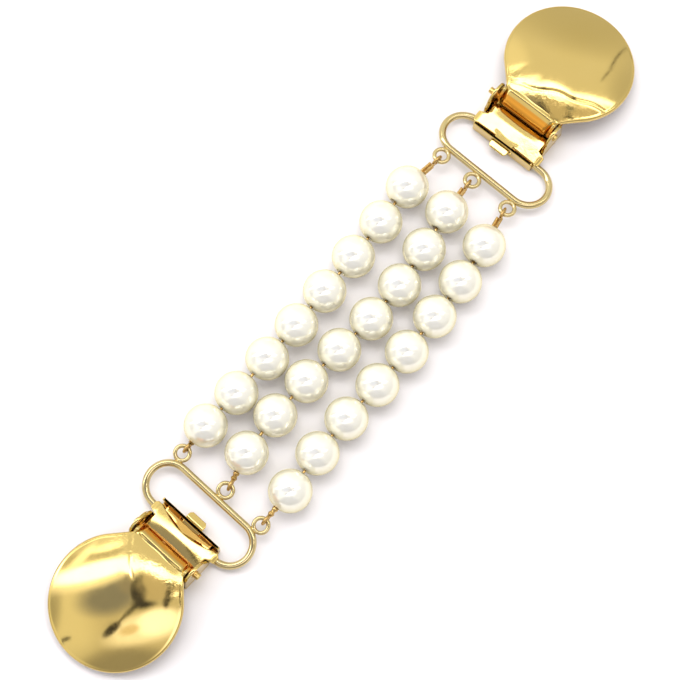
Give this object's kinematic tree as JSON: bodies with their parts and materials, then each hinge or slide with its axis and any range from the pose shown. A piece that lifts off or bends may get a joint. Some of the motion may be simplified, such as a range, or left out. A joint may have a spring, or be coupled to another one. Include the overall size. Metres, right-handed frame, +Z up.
{
  "type": "sweater clip",
  "caption": "Clip that holds a cardigan's edges together: rows of round pearls between two domed spring clips on wire loops, each with a lever that opens its jaws.",
  "frame": {"origin": "centre of the bounding box in X and Y, on the surface that the clip lies on", "axes": "+X from clip A to clip B along the rows of pearls, +Y across the rows towards the left row, +Z up, out of the domed faces"},
  "size_m": [0.155, 0.0278, 0.008],
  "materials": {
    "pearl_coat": "glossy pearl lacquer, cream white",
    "string_gold": "bright gold-coloured stringing wire and crimps",
    "gold_plate": "mirror-polished gold plate over sheet steel and wire",
    "jaw_gold": "polished gold plate, slightly duller"
  },
  "bodies": {
    "strands": {"pearl_left_1": "pearl_coat", "pearl_left_2": "pearl_coat", "pearl_left_3": "pearl_coat", "pearl_left_4": "pearl_coat", "pearl_left_5": "pearl_coat", "pearl_left_6": "pearl_coat", "pearl_left_7": "pearl_coat", "pearl_left_8": "pearl_coat", "pearl_middle_1": "pearl_coat", "pearl_middle_2": "pearl_coat", "pearl_middle_3": "pearl_coat", "pearl_middle_4": "pearl_coat", "pearl_middle_5": "pearl_coat", "pearl_middle_6": "pearl_coat", "pearl_middle_7": "pearl_coat", "pearl_middle_8": "pearl_coat", "pearl_right_1": "pearl_coat", "pearl_right_2": "pearl_coat", "pearl_right_3": "pearl_coat", "pearl_right_4": "pearl_coat", "pearl_right_5": "pearl_coat", "pearl_right_6": "pearl_coat", "pearl_right_7": "pearl_coat", "pearl_right_8": "pearl_coat", "string_left": "string_gold", "string_middle": "string_gold", "string_right": "string_gold", "loop_a": "gold_plate", "loop_b": "gold_plate"},
    "clip_a": {"base_a": "gold_plate"},
    "jaw_a": {"jaw_a": "jaw_gold"},
    "lever_a": {"lever_a": "gold_plate"},
    "clip_b": {"base_b": "gold_plate"},
    "jaw_b": {"jaw_b": "jaw_gold"},
    "lever_b": {"lever_b": "gold_plate"}
  },
  "joints": [
    {"name": "clip_a_swing", "type": "hinge", "parent": "strands", "child": "clip_a", "pos_m": [-0.04764, 0.00056, 0.00137], "axis": [-0.061, -0.9981, 0], "range_deg": [-45, 90]},
    {"name": "lever_a_open", "type": "hinge", "parent": "clip_a", "child": "lever_a", "pos_m": [-0.05213, 0.00041, 0.005], "axis": [0.0558, 0.9984, 0], "range_deg": [0, 100]},
    {"name": "jaw_a_lift", "type": "hinge", "parent": "clip_a", "child": "jaw_a", "pos_m": [-0.04594, 0.00006, 0.0025], "axis": [0.0558, 0.9984, 0], "range_deg": [0, 8]},
    {"name": "clip_b_swing", "type": "hinge", "parent": "strands", "child": "clip_b", "pos_m": [0.04676, 0.00056, 0.00137], "axis": [0.0262, 0.9997, 0], "range_deg": [-45, 90]},
    {"name": "lever_b_open", "type": "hinge", "parent": "clip_b", "child": "lever_b", "pos_m": [0.05211, 0.00141, 0.005], "axis": [0, -1, 0], "range_deg": [0, 100]},
    {"name": "jaw_b_lift", "type": "hinge", "parent": "clip_b", "child": "jaw_b", "pos_m": [0.04561, 0.00141, 0.0025], "axis": [0, -1, 0], "range_deg": [0, 8]}
  ],
  "couplings": [
    {"joint": "jaw_a_lift", "follows": "lever_a_open", "ratio": 0.08},
    {"joint": "jaw_b_lift", "follows": "lever_b_open", "ratio": 0.08}
  ]
}
